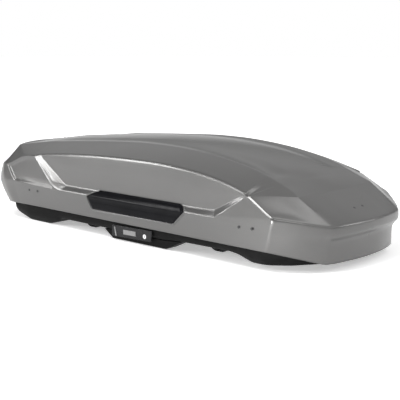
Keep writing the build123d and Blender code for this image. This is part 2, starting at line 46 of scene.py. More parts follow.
def metres(p):
    return (np.asarray(p, float) + SHIFT) / 1000.0


def smoothstep(x):
    x = np.clip(x, 0, 1)
    return x * x * (3 - 2 * x)


# ------------------------------------------------------------------ materials
def new_mat(name):
    m = bpy.data.materials.new(name)
    m.use_nodes = True
    nt = m.node_tree
    b = nt.nodes["Principled BSDF"]
    return m, nt, b


def setp(b, **k):
    names = {"metal": "Metallic", "rough": "Roughness", "spec": "Specular IOR Level", "coat": "Coat Weight",
             "coat_rough": "Coat Roughness", "aniso": "Anisotropic", "sheen": "Sheen Weight", "sheen_rough": "Sheen Roughness",
             "ior": "IOR"}
    for key, v in k.items():
        b.inputs[names[key]].default_value = v


def noise(nt, scale, detail=3.0, rough=0.55, stretch=None):
    tc = nt.nodes.new("ShaderNodeTexCoord")
    mp = nt.nodes.new("ShaderNodeMapping")
    if stretch:
        mp.inputs["Scale"].default_value = stretch
    n = nt.nodes.new("ShaderNodeTexNoise")
    n.inputs["Scale"].default_value = scale
    n.inputs["Detail"].default_value = detail
    n.inputs["Roughness"].default_value = rough
    nt.links.new(tc.outputs["Object"], mp.inputs["Vector"])
    nt.links.new(mp.outputs["Vector"], n.inputs["Vector"])
    return n


def ramp(nt, src, stops):
    r = nt.nodes.new("ShaderNodeValToRGB")
    el = r.color_ramp.elements
    while len(el) > 1:
        el.remove(el[-1])
    el[0].position, el[0].color = stops[0][0], (*stops[0][1], 1) if len(stops[0][1]) == 3 else stops[0][1]
    for pos, c in stops[1:]:
        e = el.new(pos)
        e.color = (*c, 1)
    nt.links.new(src, r.inputs["Fac"])
    return r


def grey(v):
    return (v, v, v)


def bump(nt, b, src, strength, dist):
    n = nt.nodes.new("ShaderNodeBump")
    n.inputs["Strength"].default_value = strength
    n.inputs["Distance"].default_value = dist
    nt.links.new(src, n.inputs["Height"])
    nt.links.new(n.outputs["Normal"], b.inputs["Normal"])
    return n


def simple(name, col, rough, metal=0.0, var=0.12, scale=30.0, bump_scale=None, bump_s=0.1, bump_d=0.0004, stretch=None,
           rough_var=0.06, **k):
    """A finish with a slow colour drift, an uneven roughness and, if asked, a fine relief."""
    m, nt, b = new_mat(name)
    n = noise(nt, scale, 4.0, 0.6, stretch)
    lo = tuple(c * (1 - var) for c in col)
    hi = tuple(min(1, c * (1 + var)) for c in col)
    r = ramp(nt, n.outputs["Fac"], [(0.3, lo), (0.7, hi)])
    nt.links.new(r.outputs["Color"], b.inputs["Base Color"])
    n2 = noise(nt, scale * 2.7, 3.0, 0.5, stretch)
    r2 = ramp(nt, n2.outputs["Fac"], [(0.3, grey(max(0.02, rough - rough_var))), (0.7, grey(min(1, rough + rough_var)))])
    nt.links.new(r2.outputs["Color"], b.inputs["Roughness"])
    b.inputs["Metallic"].default_value = metal
    setp(b, **k)
    if bump_scale:
        n3 = noise(nt, bump_scale, 2.0, 0.5, stretch)
        bump(nt, b, n3.outputs["Fac"], bump_s, bump_d)
    return m


def lid_paint():
    m, nt, b = new_mat("titan_lid")
    flake = nt.nodes.new("ShaderNodeTexVoronoi")
    tc = nt.nodes.new("ShaderNodeTexCoord")
    flake.inputs["Scale"].default_value = 900.0
    nt.links.new(tc.outputs["Object"], flake.inputs["Vector"])
    fl = ramp(nt, flake.outputs["Color"], [(0.0, (0.109, 0.1078, 0.1062)), (1.0, (0.126, 0.1247, 0.1226))])
    drift = noise(nt, 3.0, 2.0, 0.5)
    dr = ramp(nt, drift.outputs["Fac"], [(0.3, grey(0.96)), (0.7, grey(1.0))])
    mul = nt.nodes.new("ShaderNodeMix")
    mul.data_type = "RGBA"
    mul.blend_type = "MULTIPLY"
    mul.inputs[0].default_value = 1.0
    nt.links.new(fl.outputs["Color"], mul.inputs[6])
    nt.links.new(dr.outputs["Color"], mul.inputs[7])
    nt.links.new(mul.outputs[2], b.inputs["Base Color"])
    n2 = noise(nt, 14.0, 3.0, 0.5)
    r2 = ramp(nt, n2.outputs["Fac"], [(0.3, grey(0.29)), (0.7, grey(0.305))])
    nt.links.new(r2.outputs["Color"], b.inputs["Roughness"])
    setp(b, metal=0.62, coat=0.15, coat_rough=0.1)
    peel = noise(nt, 420.0, 2.0, 0.5)
    bump(nt, b, peel.outputs["Fac"], 0.01, 0.0002)
    return m


def lid_inside():
    return simple("lid_inside_grey", (0.10, 0.10, 0.10), 0.55, 0.0, 0.10, 8.0, 600.0, 0.25, 0.0004)


def base_black():
    """Grained black plastic."""
    m, nt, b = new_mat("grained_black")
    n = noise(nt, 26.0, 4.0, 0.6)
    r = ramp(nt, n.outputs["Fac"], [(0.3, grey(0.005)), (0.7, grey(0.0085))])
    nt.links.new(r.outputs["Color"], b.inputs["Base Color"])
    v = nt.nodes.new("ShaderNodeTexVoronoi")
    tc = nt.nodes.new("ShaderNodeTexCoord")
    v.inputs["Scale"].default_value = 520.0
    nt.links.new(tc.outputs["Object"], v.inputs["Vector"])
    r2 = ramp(nt, n.outputs["Fac"], [(0.3, grey(0.44)), (0.7, grey(0.54))])
    nt.links.new(r2.outputs["Color"], b.inputs["Roughness"])
    setp(b, spec=0.05)
    bump(nt, b, v.outputs["Distance"], 0.35, 0.0004)
    return m


def webbing():
    m, nt, b = new_mat("woven_webbing")
    tc = nt.nodes.new("ShaderNodeTexCoord")
    mp = nt.nodes.new("ShaderNodeMapping")
    nt.links.new(tc.outputs["Object"], mp.inputs["Vector"])
    w1 = nt.nodes.new("ShaderNodeTexWave")
    w1.bands_direction = "X"
    w1.inputs["Scale"].default_value = 130.0
    w2 = nt.nodes.new("ShaderNodeTexWave")
    w2.bands_direction = "Y"
    w2.inputs["Scale"].default_value = 90.0
    for w in (w1, w2):
        w.inputs["Distortion"].default_value = 0.6
        nt.links.new(mp.outputs["Vector"], w.inputs["Vector"])
    mul = nt.nodes.new("ShaderNodeMath")
    mul.operation = "MULTIPLY"
    nt.links.new(w1.outputs["Fac"], mul.inputs[0])
    nt.links.new(w2.outputs["Fac"], mul.inputs[1])
    r = ramp(nt, mul.outputs["Value"], [(0.0, grey(0.012)), (1.0, grey(0.035))])
    nt.links.new(r.outputs["Color"], b.inputs["Base Color"])
    setp(b, rough=0.8, sheen=0.3)
    bump(nt, b, mul.outputs["Value"], 0.6, 0.0006)
    return m


MAT = {
    "lid_skin": lid_paint(),
    "lid_inside": lid_inside(),
    "base_skin": base_black(),
    "gloss_black": simple("gloss_black_trim", (0.006, 0.006, 0.007), 0.16, 0.0, 0.2, 9.0, 300.0, 0.02, 0.0003, rough_var=0.03, spec=0.05),
    "black_plastic": simple("moulded_black", (0.010, 0.010, 0.011), 0.42, 0.0, 0.2, 40.0, 700.0, 0.15, 0.0003, spec=0.2),
    "panel_black": simple("panel_satin_black", (0.010, 0.010, 0.011), 0.3, 0.0, 0.2, 30.0, 700.0, 0.08, 0.0002, spec=0.25),
    "grey_plastic": simple("printed_grey", (0.20, 0.20, 0.20), 0.5, 0.0, 0.1, 60.0, 500.0, 0.1, 0.0002),
    "steel": simple("zinc_steel", (0.52, 0.52, 0.50), 0.36, 1.0, 0.12, 22.0, 260.0, 0.08, 0.0002, rough_var=0.08),
    "chrome": simple("bright_chrome", (0.75, 0.75, 0.76), 0.12, 1.0, 0.04, 30.0, rough_var=0.04),
    "dark_steel": simple("painted_steel", (0.014, 0.014, 0.015), 0.38, 0.0, 0.25, 35.0, 500.0, 0.1, 0.0002),
    "alu": simple("brushed_alu", (0.60, 0.60, 0.61), 0.34, 1.0, 0.08, 30.0, 300.0, 0.12, 0.0002, stretch=(1, 0.05, 1), rough_var=0.08),
    "rubber": simple("matt_rubber", (0.015, 0.015, 0.015), 0.75, 0.0, 0.25, 60.0, 400.0, 0.3, 0.0003),
    "webbing": webbing(),
}


# ------------------------------------------------------------------ mesh helpers
def obj_from(name, verts, faces, mat, body, smooth=True):
    """verts in the drawing frame, millimetres."""
    me = bpy.data.meshes.new(name)
    me.from_pydata([tuple(v) for v in metres(verts)], [], faces)
    me.validate(verbose=False)
    me.update()
    o = bpy.data.objects.new(name, me)
    bpy.context.scene.collection.objects.link(o)
    for m in (mat if isinstance(mat, (list, tuple)) else [mat]):
        me.materials.append(m)
    if smooth:
        me.polygons.foreach_set("use_smooth", [True] * len(me.polygons))
    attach(o, body)
    return o


def clean(o, dist=0.00025):
    bm = bmesh.new()
    bm.from_mesh(o.data)
    bmesh.ops.remove_doubles(bm, verts=bm.verts, dist=dist)
    bmesh.ops.dissolve_degenerate(bm, edges=bm.edges, dist=dist * 0.5)
    bmesh.ops.recalc_face_normals(bm, faces=bm.faces)
    for f in bm.faces:
        f.smooth = True
    bm.to_mesh(o.data)
    bm.free()
    o.data.update()


def hermite(P, corner, counts, ghost0=None, ghost1=None):
    """Dense points along P. corner 1 breaks the tangent at a point, 0 keeps it smooth."""
    P = np.asarray(P, float)
    n = len(P)
    ext = [ghost0 if ghost0 is not None else P[0]] + list(P) + [ghost1 if ghost1 is not None else P[-1]]
    ext = np.array(ext, float)
    ch = ext[1:] - ext[:-1]
    d = np.linalg.norm(ch, axis=1)
    s = ch / np.maximum(d, 1e-9)[:, None]
    tl, tr = np.zeros((n, 3)), np.zeros((n, 3))
    for j in range(n):
        dl, dr, sl, sr = d[j], d[j + 1], s[j], s[j + 1]
        if dl < 1e-3 or dr < 1e-3:
            tl[j], tr[j] = sl, sr
            continue
        m = (sl * dr + sr * dl) / (dl + dr)
        c = corner[j]
        tl[j], tr[j] = m + (sl - m) * c, m + (sr - m) * c
    out = []
    for j in range(n - 1):
        k = counts[j]
        h = d[j + 1]
        for q in range(k):
            t = q / k
            a, b = 2 * t**3 - 3 * t**2 + 1, t**3 - 2 * t**2 + t
            c, e = -2 * t**3 + 3 * t**2, t**3 - t**2
            out.append(a * P[j] + b * h * tr[j] + c * P[j + 1] + e * h * tl[j + 1])
    out.append(P[-1])
    return np.array(out)


def relax(G, times, lam=0.5, hold=None, wrap=False):
    """Laplacian smoothing of a grid of points, its border held."""
    for _ in range(times):
        A = G.copy()
        inner = (G[:-2, 1:-1] + G[2:, 1:-1] + G[1:-1, :-2] + G[1:-1, 2:]) / 4
        A[1:-1, 1:-1] = G[1:-1, 1:-1] + lam * (inner - G[1:-1, 1:-1])
        # the open rim slides only along itself
        A[0, 1:-1] = G[0, 1:-1] + lam * ((G[0, :-2] + G[0, 2:]) / 2 - G[0, 1:-1])
        A[-1, 1:-1] = G[-1, 1:-1] + lam * ((G[-1, :-2] + G[-1, 2:]) / 2 - G[-1, 1:-1])
        if hold is not None:
            A = A + (G - A) * hold[..., None]
        G = A
    return G


# ------------------------------------------------------------------ lid
RIM_HALF, HALF_W = 444.0, 457.5


def wall_y(z):
    if z <= 114:
        return -(RIM_HALF + (HALF_W - RIM_HALF) * (1 - (1 - max(z, 0) / 114) ** 1.4))
    return -(HALF_W - 27.5 * ((z - 114) / 106) ** 1.6)


def mixp(a, b, t):
    return tuple(a[k] + (b[k] - a[k]) * t for k in range(3))


def side(xr, xb, zb, U, v1=None):
    rim = (xr, -RIM_HALF, 0 if xr > -900 else -1)
    ub = (xr + (xb - xr) * 0.35, wall_y(45), 45)
    lb = (xr + (xb - xr) * 0.68, wall_y(80), 80)
    belt = (xb, -HALF_W if zb < 125 else wall_y(zb), zb)
    if v1 is None:
        v1 = mixp(belt, U, 0.25)
        v1 = (v1[0], (v1[1] + wall_y(v1[2])) / 2, v1[2])
    return [rim, ub, lb, belt, v1, U]


E = (688.5, -445, 224.5)
F = (837, -287, 218)
HC = (840, 0, 213)
A = (832, -457, 148)
VR = (-1011, -355, 308)
# (points rim, ub, lb, belt, v1, U), T, C, row-direction corners at (ub, lb, belt, v1, U, T)
cols = [
    ([(1012, 0, -55), (1006, 0, 40), (1033, 0, 69), (1034, 0, 109), (976, 0, 141), HC], HC, HC, (.8, .8, 1, 0, 1, 1)),
    ([(1003, -133, -55), (1001, -133, 40), (1025, -133, 69), (1026, -133, 109), (970, -140, 142), (839, -145, 215)], (839, -145, 215), HC, (.8, .8, 1, 0, 1, 1)),
    ([(968, -268, -55), (978, -258, 40), (1001, -266, 69), (1001, -266, 109), (952, -272, 142), F], F, HC, (.7, .7, 1, 0, 1, 1)),
    ([(900, -351, -30), (912, -362, 45), (917, -365, 80), (921, -366, 129), (872, -363, 157), (772, -357, 223)], (800, -275, 235), (812, 0, 231), (.2, .2, 1, 0, 1, .7)),
    ([(795.4, -440, -1), (809.5, -445, 45), (818.5, -448, 80), (838, -450.7, 146.6), (798, -447, 170), (697, -437, 228.3)], (744, -273, 258), (754.5, 0, 262), (0, 0, .3, 0, 1, .9)),
    ([(787, -RIM_HALF, 0), (801, -448.6, 45), (810, -451.7, 80), (829, -457, 143), (789, -453.6, 166), (688.5, -445, 224.5)], (735, -273, 262), (745, 0, 266), (0, 0, .3, 0, 1, .9)),
    (side(560, 522, 114, E, (566, -454, 145)), (700, -273, 275), (708, 0, 283), (0, 0, 0, 0, 1, 1)),
    (side(540, 514, 114, (682, -444.5, 236), (501, -435, 142)), (660, -273, 290), (668, 0, 298), (0, 0, 1, 1, 1, 1)),
    (side(450, 450, 114, (608, -436, 258), (436, -435, 138)), (590, -273, 311), (590, 0, 321), (0, 0, 1, 1, 1, 1)),
    (side(337, 337, 114, (470, -430, 285), (321, -435, 137)), (470, -273, 336), (470, 0, 347), (0, 0, 1, 1, 1, 1)),
    (side(120, 120, 114, (230, -430, 310), (111, -435, 137)), (230, -273, 366), (230, 0, 377), (0, 0, 1, 1, 1, 1)),
    (side(-100, -100, 114, (-60, -430, 315), (-104, -435, 137)), (-60, -273, 376), (-60, 0, 387), (0, 0, 1, 1, 1, 1)),
    (side(-329, -329, 114, (-360, -430, 308), (-324, -435, 137)), (-360, -273, 364), (-360, 0, 376), (0, 0, 1, 1, 1, 1)),
    (side(-440, -440, 114, (-567, -430, 296), (-434, -435, 137)), (-560, -285, 352), (-560, 0, 362), (0, 0, 1, 1, 1, 1)),
    (side(-520, -530, 114, (-738, -430, 279), (-516, -435, 138)), (-720, -302, 341), (-720, 0, 350), (0, 0, 1, 1, 1, 1)),
    (side(-590, -590, 114, (-778, -438, 270), None), (-770, -308, 338), (-790, 0, 344), (0, 0, 0, 0, 1, 1)),
    (side(-680, -700, 117, (-862, -435, 263), None), VR, (-900, 0, 333), (0, 0, 0, 0, 1, 1)),
    (side(-900, -937, 122, (-1025, -439, 206), None), VR, (-1000, 0, 322), (0, 0, 0, 0, 1, 1)),
    ([(-985, -440, -3), (-1015, -447, 45), (-1030, -450, 80), (-1045, -450, 112), (-1052, -448, 140), (-1055, -436, 206)], VR, (-1040, 0, 316), (0, 0, .2, .2, 1, 1)),
    ([(-1038, -420, -6), (-1082, -420, 48), (-1104, -420, 80), (-1117, -420, 107), (-1113, -420, 140), (-1086, -420, 205)], (-1050, -290, 310), (-1065, 0, 313), (0, 0, .3, .2, 1, 1)),
    ([(-1068, -330, -6), (-1114, -330, 48), (-1136, -330, 80), (-1146, -330, 107), (-1143, -330, 140), (-1125, -330, 205)], (-1078, -190, 312), (-1080, 0, 311), (0, 0, .3, .2, 1, 1)),
    ([(-1080, 0, -6), (-1125, 0, 48), (-1146, 0, 80), (-1155, 0, 107), (-1152, 0, 140), (-1138, 0, 205)], (-1092, 0, 309), (-1092, 0, 309), (0, 0, .3, .2, 1, 1)),
]
# column-direction corners for each row
CC = {
    0: {2: .5, 4: 1}, 1: {2: .5, 4: .9}, 2: {2: .6, 3: .2, 4: 1}, 3: {2: .5, 3: .1, 4: 1, 5: .5, 13: .3, 14: .5},
    4: {2: 0, 4: 1, 5: 1, 6: 1, 13: 1, 14: 1, 16: .6, 17: .6}, 5: {2: 1, 4: 1, 5: 1, 6: 1, 13: 1, 14: 1, 16: .7, 17: .7},
    6: {2: 1, 14: .6, 15: 1, 16: 1, 17: 1}, 7: {2: .8}, 8: {2: .5}, 9: {2: .2},
}
STEP = 5.5
rows_n = 10
net = []
for low, T, C, _c in cols:
    same = np.allclose(T, C)
    m1, m2 = mixp(T, C, 0.18), mixp(T, C, 0.55)
    on = 0 if same or not 700 > T[0] > -1000 else 1
    net.append([*low, T, (m1[0], m1[1], m1[2] - 5 * on), (m2[0], m2[1], m2[2] + 1 * on), C])
net = np.array(net, float)  # columns x rows x 3
ncol = len(net)
# station number of each column: 3.93 is the near edge of the nose corner's chamfer
stn = np.array([0, 1, 2, 3, 3.93, *range(4, ncol - 1)], float)
counts_c = []
for j in range(ncol - 1):
    d = np.linalg.norm(net[j + 1] - net[j], axis=1).max()
    counts_c.append(max(4, int(math.ceil(d / STEP))))
counts_c[6] = 7
counts_c[14] = 12
R = []
for r in range(rows_n):
    P = net[:, r]
    c = [CC[r].get(4 if q == 3.93 else int(q), 0.0) for q in stn]
    g0, g1 = P[1] * [1, -1, 1], P[-2] * [1, -1, 1]
    if np.allclose(P[0], P[1]):
        g0 = None
    if np.allclose(P[-1], P[-2]):
        g1 = None
    R.append(hermite(P, c, counts_c, g0, g1))
R = np.array(R)  # rows x S x 3
S = R.shape[1]
# row-direction corner values along the dense columns
cr = np.array([c[3] for c in cols], float)
jj = np.concatenate([np.linspace(stn[j], stn[j + 1], counts_c[j], endpoint=False) for j in range(ncol - 1)] + [[stn[-1]]])
crd = np.array([np.interp(jj, stn, cr[:, k]) for k in range(6)])
# keep the ledge's corners at full strength between the two chamfers
crd[2] = np.where((jj >= 5.6) & (jj <= 13.4), 1, crd[2])
crd[3] = np.where((jj >= 5.3) & (jj <= 13.7), 1, crd[3])
counts_r = [8, 6, 6, 6, 28, 28, 10, 18, 24]
row_of = np.concatenate([np.linspace(r, r + 1, counts_r[r], endpoint=False) for r in range(rows_n - 1)] + [[rows_n - 1]])
H = []
for s in range(S):
    P = R[:, s]
    corner = [0, crd[0][s], crd[1][s], crd[2][s], crd[3][s], crd[4][s], crd[5][s], 0, 0, 0]
    g1 = None if np.linalg.norm(P[-1] - P[-2]) < 1e-3 else P[-2] * [1, -1, 1]
    H.append(hermite(P, corner, counts_r, None, g1))
H = np.array(H).transpose(1, 0, 2)  # dense rows x S x 3
nr = H.shape[0]

JJ = np.broadcast_to(jj[None, :], (nr, S))
RR = np.broadcast_to(row_of[:, None], (nr, S))


def bell(x, a, b, soft):
    return smoothstep((x - a) / soft) * smoothstep((b - x) / soft)


# crowns of the recessed panel and of the shoulder
u = np.clip(RR - 4, 0, 1)
panel = np.where((RR >= 4) & (RR <= 5), np.sin(math.pi * u), 0) * bell(JJ, 6.05, 12.95, 1.2)
H[..., 1] -= 3.5 * panel
u = np.clip(RR - 5, 0, 1)
sh = np.where((RR >= 5) & (RR <= 6), np.sin(math.pi * u), 0) * bell(JJ, 3.2, 15.5, 2.0)
H[..., 1] -= 1.0 * sh
H[..., 2] += 2.5 * sh
# the rear window: a facet let in behind the rear chamfer, above the belt
def dist_along_rows(row_val):
    """Distance in mm from each point to the row row_val, measured on its own column."""
    k = int(np.argmin(abs(row_of - row_val)))
    d = np.zeros((nr, S))
    seg = np.linalg.norm(H[1:] - H[:-1], axis=2)
    cum = np.vstack([np.zeros(S), np.cumsum(seg, axis=0)])
    return cum - cum[k]


def dist_along_cols(col_val):
    k = int(np.argmin(abs(jj - col_val)))
    seg = np.linalg.norm(H[:, 1:] - H[:, :-1], axis=2)
    cum = np.hstack([np.zeros((nr, 1)), np.cumsum(seg, axis=1)])
    return cum - cum[:, k:k + 1]


d_belt = dist_along_rows(3.0)
d_top = -dist_along_rows(5.0)
d_front = dist_along_cols(14.0)
d_rear = -dist_along_cols(16.0)
win = smoothstep(np.minimum(np.minimum((d_belt - 2) / 9, (d_front - 5) / 9), np.minimum((d_rear - 2) / 9, (d_top + 0) / 26)))
win = np.where((RR >= 3) & (RR <= 5) & (JJ >= 14) & (JJ <= 16), win, 0)
H[..., 1] += 6.0 * win

# whole width, then soft fillets on every edge
far = H[:-1][::-1] * [1, -1, 1]
G = np.vstack([H, far])
G = relax(G, 2, 0.5)
# a wider fillet along the long upper edge of the side panel
wide = bell(RR, 4.82, 5.18, 0.1) * bell(JJ, 5.0, 14.6, 0.4)
wide = np.vstack([wide, wide[:-1][::-1]])
G = relax(G, 2, 0.5, 1 - wide)
# the hood's rear fold: every grid point that falls on it is brought to the fold's own points
r5, s2 = int(np.argmin(abs(row_of - 5))), int(np.argmin(abs(jj - 2)))
N = G[:nr].copy()
K = N[r5, :s2 + 1].copy()
for r in range(r5, nr):
    for s in range(s2 + 1):
        N[r, s] = K[int(np.argmin(abs(K[:, 1] - H[r, s, 1])))]
G = np.vstack([N, N[:-1][::-1] * [1, -1, 1]])
NR = G.shape[0]
verts = G.reshape(-1, 3)
faces = []
for r in range(NR - 1):
    for s in range(S - 1):
        a = r * S + s
        faces.append((a, a + 1, a + S + 1, a + S))
lid = obj_from("lid_skin", verts, faces, [MAT["lid_skin"], MAT["lid_inside"]], "lid")
clean(lid, 0.0004)
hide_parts("lid_shell")
# outward check
me = lid.data
top = max(me.polygons, key=lambda p: p.center.z)
if top.normal.z < 0:
    me.flip_normals()
sol = lid.modifiers.new("skin", "SOLIDIFY")
sol.thickness = 0.004
sol.offset = -1
sol.use_even_offset = False
sol.use_rim = True
sol.material_offset = 1
sol.material_offset_rim = 0


# ------------------------------------------------------------------ base tray
BT, BH = 12.0, 431.0
st = [
    (-1058, 300, 285, -12, BT - 6), (-1026, 385, 365, -36, BT - 6), (-985, 424, 404, -60, BT),
    (-868, BH, 408, -Z0, BT), (-700, BH, 408, -Z0, BT), (-632, BH, 414, -75, BT),
    (-588, BH, 419, -48.5, BT), (160, BH, 420, -48.5, BT), (290, BH, 420, -39, BT),
    (570, BH, 420, -35, BT), (620, BH, 416, -42, BT), (690, BH, 408, -68, BT),
    (760, 428, 402, -68, BT), (850, 366, 340, -66, -2), (935, 262, 240, -62, -20), (975, 150, 138, -58, -28),
]
stx = [s[0] for s in st]


def at(k, x):
    return float(np.interp(x, stx, [s[k] for s in st]))


CLAMP_X, CLAMP_Y = (-456.0, 420.0), (-300.0, 300.0)
cuts = [(cx - 62, cx + 62, cy - 22, cy + 22) for cx in CLAMP_X for cy in CLAMP_Y]
cuts += [(-150 + sx * 150 - 20, -150 + sx * 150 + 20, sy * 200 - 4.25, sy * 200 + 4.25) for sx in (-1, 1) for sy in (-1, 1)]


def lines(lo, hi, must, step):
    m = sorted(set([lo, hi] + [v for v in must if lo < v < hi]))
    out = []
    for a, b in zip(m, m[1:]):
        k = max(1, int(round((b - a) / step)))
        out += [a + (b - a) * q / k for q in range(k)]
    return out + [m[-1]]


xs = lines(st[0][0], st[-1][0], [c for q in cuts for c in q[:2]] + stx, 9.0)
ys = lines(0.0, 130.0, [], 13.0)[:-1] + lines(130.0, 395.0, [abs(v) for q in cuts for v in q[2:]], 11.0)


def half_section(x):
    wt, wf, zf, zt = at(1, x), at(2, x), at(3, x), at(4, x)
    wm, zm = max(wf, min(wt, wt - 2)), zf + (zt - zf) * 0.38
    pts = []
    lim = wf
    for y in ys:
        pts.append((x, min(y, lim * y / 395.0 if lim < 400 else y), zf))
    a = np.array([x, pts[-1][1], zf])
    for q in range(1, 4):
        pts.append(tuple(a + (np.array([x, wf, zf]) - a) * q / 3))
    p0, p1, p2 = np.array([x, wf, zf]), np.array([x, wm, zm]), np.array([x, wt, zt])
    for q in range(1, 5):
        pts.append(tuple(p0 + (p1 - p0) * q / 4))
    for q in range(1, 6):
        pts.append(tuple(p1 + (p2 - p1) * q / 5))
    return pts


B = []
for x in xs:
    h = half_section(x)
    B.append([(p[0], -p[1], p[2]) for p in reversed(h)] + h[1:])
B = np.array(B, float)
hold = np.zeros(B.shape[:2])
for x0, x1, y0, y1 in cuts:
    near_cut = (B[..., 0] > x0 - 14) & (B[..., 0] < x1 + 14) & (B[..., 1] > y0 - 6) & (B[..., 1] < y1 + 6)
    hold = np.where(near_cut, 1.0, hold)
keep_top = B[:, [0, -1]].copy()
B2 = relax(B, 5, 0.5, hold)
B2[:, 0], B2[:, -1] = keep_top[:, 0], keep_top[:, 1]
B2[0], B2[-1] = B[0], B[-1]
nx, ny = B2.shape[:2]
bv = [tuple(p) for p in B2.reshape(-1, 3)]
bf = []
for i in range(nx - 1):
    for j in range(ny - 1):
        c = (B[i, j] + B[i + 1, j + 1]) / 2
        if c[2] < 0 and any(x0 < c[0] < x1 and y0 < c[1] < y1 for x0, x1, y0, y1 in cuts):
            continue
        a = i * ny + j
        bf.append((a, a + 1, a + ny + 1, a + ny))
# end walls
for i, flip in ((0, False), (nx - 1, True)):
    row = [i * ny + j for j in range(ny)]
    zt = B2[i, 0, 2]
    prev = row
    w = at(1, xs[i])
    for q in range(1, 6):
        t = q / 5
        cur = [row[0]]
        for j in range(1, ny - 1):
            p = B2[i, j]
            bv.append((p[0], p[1], p[2] + (zt - p[2]) * t))
            cur.append(len(bv) - 1)
        cur.append(row[-1])
        for j in range(ny - 1):
            f = (prev[j], prev[j + 1], cur[j + 1], cur[j])
            f = tuple(dict.fromkeys(f))
            if len(f) >= 3:
                bf.append(f[::-1] if flip else f)
        prev = cur
base = obj_from("base_tray", bv, bf, MAT["base_skin"], "base")
clean(base, 0.0002)
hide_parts("base_shell")
low = min(base.data.polygons, key=lambda p: p.center.z)
if low.normal.z > 0:
    base.data.flip_normals()
sb = base.modifiers.new("wall", "SOLIDIFY")
sb.thickness = 0.004
sb.offset = -1
sb.use_rim = True


# ------------------------------------------------------------------ grab trims
def trim_outline(z):
    xl = float(np.interp(z, [46, 107, 141], [-293, -329, -250]))
    xr = float(np.interp(z, [46, 52, 114, 138, 144], [262, 268, 337, 313, 292]))
    return xl, xr


def trim_ref(z):
    return wall_y(z) if z <= 114 else -457.5 + 17.5 * min(1.0, (z - 114) / 25.0)


PROFILE = [(46, 1.0), (47.5, 3.6), (50, 5.0), (56, 5.9), (66, 6.2), (76, 5.4), (84, 3.4), (90, 2.2), (96, 2.4), (102, 4.6), (108, 6.4),
           (113, 7.0), (118, 7.2), (126, 7.2), (134, 6.4), (139, 5.0), (142, 3.2), (143.5, 1.2)]


def trim(sign, name, node):
    zs, offs = [], []
    for (z0, o0), (z1, o1) in zip(PROFILE, PROFILE[1:]):
        k = max(1, int(round((z1 - z0) / 2.5)))
        for q in range(k):
            zs.append(z0 + (z1 - z0) * q / k)
            offs.append(o0 + (o1 - o0) * q / k)
    zs.append(PROFILE[-1][0])
    offs.append(PROFILE[-1][1])
    # smooth the profile a little
    offs = np.array(offs)
    for _ in range(2):
        offs[1:-1] = offs[1:-1] * 0.5 + (offs[:-2] + offs[2:]) * 0.25
    us = list(np.concatenate([np.linspace(0, 0.06, 9), np.linspace(0.06, 0.94, 60)[1:], np.linspace(0.94, 1, 9)[1:]]))
    front, back = [], []
    for z, o in zip(zs, offs):
        xl, xr = trim_outline(z)
        fr, ba = [], []
        for u_ in us:
            x = xl + (xr - xl) * u_
            e = min(x - xl, xr - x)
            f = float(smoothstep(np.array(e / 9.0)))
            y = trim_ref(z) - (0.9 + max(0.0, o - 0.9) * f)
            fr.append((x, -sign * y, z))
            ba.append((x, -sign * (trim_ref(z) - 0.4), z))
        front.append(fr)
        back.append(ba)
    nz, nu = len(zs), len(us)
    v = [p for r in front for p in r] + [p for r in back for p in r]
    off = nz * nu
    f = []
    for i in range(nz - 1):
        for j in range(nu - 1):
            a = i * nu + j
            f.append((a, a + 1, a + nu + 1, a + nu))
            f.append((off + a, off + a + nu, off + a + nu + 1, off + a + 1))
    rim = ([(0, j) for j in range(nu)] + [(i, nu - 1) for i in range(1, nz)] + [(nz - 1, j) for j in range(nu - 2, -1, -1)] + [(i, 0) for i in range(nz - 2, 0, -1)])
    for k in range(len(rim)):
        (i0, j0), (i1, j1) = rim[k], rim[(k + 1) % len(rim)]
        a, b = i0 * nu + j0, i1 * nu + j1
        f.append((b, a, off + a, off + b))
    o = obj_from(name, v, f, MAT["gloss_black"], "lid")
    bm = bmesh.new()
    bm.from_mesh(o.data)
    bmesh.ops.recalc_face_normals(bm, faces=bm.faces)
    bm.to_mesh(o.data)
    bm.free()
    o.data.set_sharp_from_angle(angle=math.radians(50))
    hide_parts(node)
    return o


trim(-1, "grab_trim_near_gloss", "grab_trim_near")
trim(1, "grab_trim_far_gloss", "grab_trim_far")


